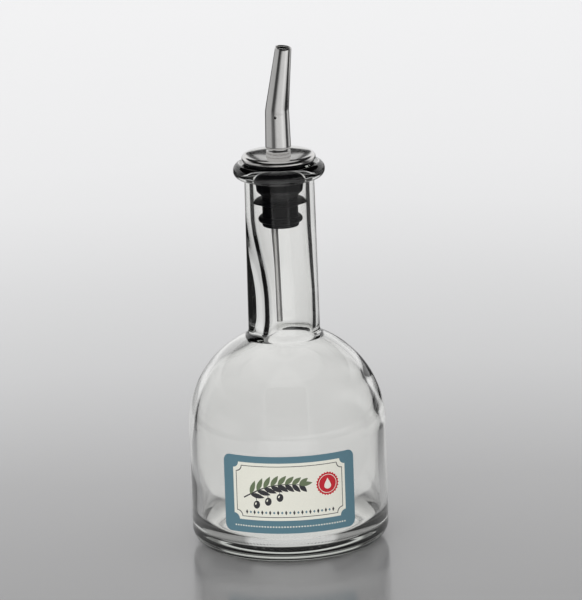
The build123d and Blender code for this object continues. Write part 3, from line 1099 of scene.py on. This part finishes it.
def make_light(name, place, aim, width, height, power):
    """A rectangular softbox that lights the object but shows in no metal or glass."""
    lamp = bpy.data.lights.new(name, "AREA")
    lamp.shape = "RECTANGLE"
    lamp.size = width
    lamp.size_y = height
    lamp.energy = power
    box = bpy.data.objects.new(name, lamp)
    box.location = place
    box.rotation_euler = (Vector(aim) - Vector(place)).to_track_quat("-Z", "Y").to_euler()
    box.visible_camera = False
    box.visible_glossy = False
    box.visible_transmission = False
    bpy.context.scene.collection.objects.link(box)


def make_world():
    """A pale studio. Metal shows it bright low down, dark above and grey overhead. Glass shows its cards."""
    world = bpy.data.worlds.new("studio")
    bpy.context.scene.world = world
    world.use_nodes = True
    world.cycles.sampling_method = "NONE"
    tree = world.node_tree
    add = node_maker(tree)
    plain = tree.nodes["Background"]
    plain.inputs["Color"].default_value = srgb(*SKY_PLAIN)
    plain.inputs["Strength"].default_value = 1.0
    path = add("ShaderNodeLightPath")
    way = add("ShaderNodeTexCoord").outputs["Generated"]
    height = add("ShaderNodeSeparateXYZ", {"Vector": way}).outputs["Z"]
    around = blended(add, between(add, height, LOW_END, ROUND_START),
                     ramp(add, bearing(add, way), SKY_LOW), ramp(add, bearing(add, way), SKY_ROUND))
    sky = blended(add, between(add, height, HIGH_FULL, HIGH_START), ramp(add, height, SKY_MIRRORED), around,
                  "MULTIPLY")
    twice = maths(add, "GREATER_THAN", path.outputs["Glossy Depth"], 1.5)
    mirrored = add("ShaderNodeBackground", {"Color": blended(add, twice, sky, SKY_TWICE)})
    once = maths(add, "GREATER_THAN", path.outputs["Glossy Depth"], 0.5)
    seen = blended(add, once, ramp(add, height, SKY_REFRACTED), ramp(add, height, SKY_REPEATED))
    carded = blended(add, product(add, between(add, height, CARD_FADE, CARD_TOP), in_wall(add, path)), seen,
                     ramp(add, share_sideways(add, way), CARD_STOPS), "MULTIPLY")
    refracted = add("ShaderNodeBackground", {"Color": carded})
    shown = layered(add, path.outputs["Is Glossy Ray"], plain.outputs["Background"],
                    mirrored.outputs["Background"])
    both = layered(add, path.outputs["Is Transmission Ray"], shown, refracted.outputs["Background"])
    tree.links.new(both, tree.nodes["World Output"].inputs["Surface"])


def make_camera():
    """The photograph's camera."""
    lens = bpy.data.cameras.new("camera")
    lens.lens = CAMERA_LENS
    camera = bpy.data.objects.new("camera", lens)
    bpy.context.scene.collection.objects.link(camera)
    back = Vector((0, -math.cos(CAMERA_RISE), math.sin(CAMERA_RISE))) * CAMERA_DISTANCE
    camera.location = AIM + back
    look = (-back).to_track_quat("-Z", "Y").to_matrix().to_4x4()
    camera.matrix_world = Matrix.Translation(AIM + back) @ look @ Matrix.Rotation(-CAMERA_ROLL, 4, "Z")
    bpy.context.scene.camera = camera


make_glass()
make_label()
make_stopper(rubber_material())
make_pourer(
    steel_material("polished_steel", metallic=1.0, low=0.08, high=0.16),
    steel_material("drawn_steel", metallic=0.7, low=0.25, high=0.35),
)
make_stage()
make_cards()
make_light("back_box", (-0.2, 3.6, 2.0), (0, 0, 0.05), 1.0, 1.0, 50)
make_light("front_box", (-0.3, -1.4, 0.9), (0, 0, 0.08), 1.2, 0.9, 12)
make_world()
make_camera()

bpy.context.scene.view_settings.view_transform = "Standard"
